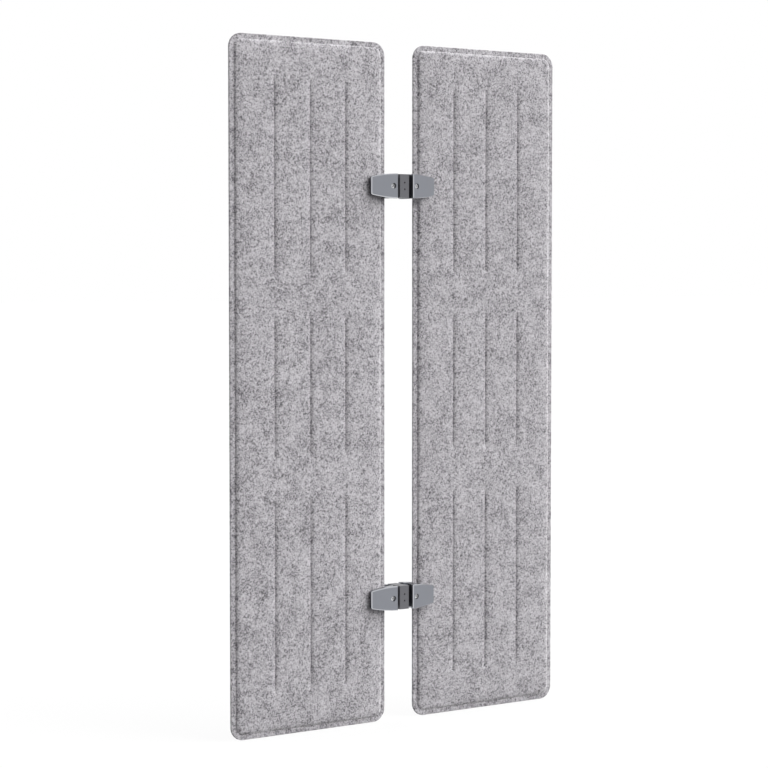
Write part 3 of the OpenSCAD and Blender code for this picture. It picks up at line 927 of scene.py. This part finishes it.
def add_sun(name, strength, spread_angle, come_from):
    """A broad soft light from one direction, the same everywhere on the stage."""
    light = bpy.data.lights.new(name, "SUN")
    light.energy = strength
    light.angle = spread_angle
    lamp = bpy.data.objects.new(name, light)
    lamp.rotation_euler = come_from.to_track_quat("Z", "Y").to_euler()
    lamp.visible_glossy = False
    bpy.context.scene.collection.objects.link(lamp)


class FELTSCREEN_OT_stage(bpy.types.Operator):
    """Pale floor, soft light and camera"""
    bl_idname = "felt_screen.stage"
    bl_label = "Stage"

    def execute(self, context):
        stage, scene = stage_settings(), context.scene
        corners = [(x * FLOOR_HALF, y * FLOOR_HALF, 0) for x, y in ((-1, -1), (1, -1), (1, 1), (-1, 1))]
        mesh = bpy.data.meshes.new("floor")
        mesh.from_pydata(corners, [], [(0, 1, 2, 3)])
        floor = bpy.data.objects.new("floor", mesh)
        scene.collection.objects.link(floor)
        mesh.materials.append(floor_material(stage))

        world = bpy.data.worlds.new("Studio")
        scene.world = world
        world.use_nodes = True
        tree = world.node_tree
        sky = next(n for n in tree.nodes if n.type == "BACKGROUND")
        sky.inputs["Color"].default_value = WHITE
        seen = math_node(tree, "MULTIPLY", seen_rays(tree), 1.0 - stage.ambient)
        tree.links.new(math_node(tree, "ADD", seen, stage.ambient), sky.inputs["Strength"])

        add_sun("key", stage.key, stage.light_spread, KEY_FROM)
        add_sun("fill", stage.fill, stage.light_spread, FILL_FROM)

        optics = bpy.data.cameras.new("camera")
        optics.sensor_width = SENSOR_WIDTH
        optics.lens = stage.lens
        optics.clip_end = CAMERA_REACH
        camera = bpy.data.objects.new("camera", optics)
        camera.location = stage.eye
        camera.rotation_euler = stage.turn
        scene.collection.objects.link(camera)
        scene.camera = camera
        scene.view_settings.view_transform = "Standard"
        return {"FINISHED"}


OPERATORS = (
    FELTSCREEN_OT_shells,
    FELTSCREEN_OT_wadding,
    FELTSCREEN_OT_jaws,
    FELTSCREEN_OT_links,
    FELTSCREEN_OT_fasteners,
    FELTSCREEN_OT_pads,
    FELTSCREEN_OT_stage,
)


class FELTSCREEN_PT_pieces(bpy.types.Panel):
    """Pieces of the felt screen, in the order they are made"""
    bl_idname = "FELTSCREEN_PT_pieces"
    bl_label = "Felt screen"
    bl_space_type = "VIEW_3D"
    bl_region_type = "UI"
    bl_category = "Felt screen"

    def draw(self, context):
        for operator in OPERATORS:
            self.layout.operator(operator.bl_idname)
        for settings in (leaf_settings(), finishes(), stage_settings()):
            box = self.layout.box()
            for key in settings.__annotations__:
                box.prop(settings, key)


SETTINGS = (
    ("felt_screen_leaf", LeafSettings),
    ("felt_screen_finish", FinishSettings),
    ("felt_screen_stage", StageSettings),
)


def register():
    for name, group in SETTINGS:
        bpy.utils.register_class(group)
        setattr(bpy.types.Scene, name, PointerProperty(type=group))
    for cls in (*OPERATORS, FELTSCREEN_PT_pieces):
        bpy.utils.register_class(cls)


def unregister():
    for cls in reversed((*OPERATORS, FELTSCREEN_PT_pieces)):
        bpy.utils.unregister_class(cls)
    for name, group in reversed(SETTINGS):
        delattr(bpy.types.Scene, name)
        bpy.utils.unregister_class(group)


def main():
    register()
    bpy.ops.felt_screen.shells()
    bpy.ops.felt_screen.wadding()
    bpy.ops.felt_screen.jaws()
    bpy.ops.felt_screen.links()
    bpy.ops.felt_screen.fasteners()
    bpy.ops.felt_screen.pads()
    bpy.ops.felt_screen.stage()


if __name__ == "__main__":
    main()
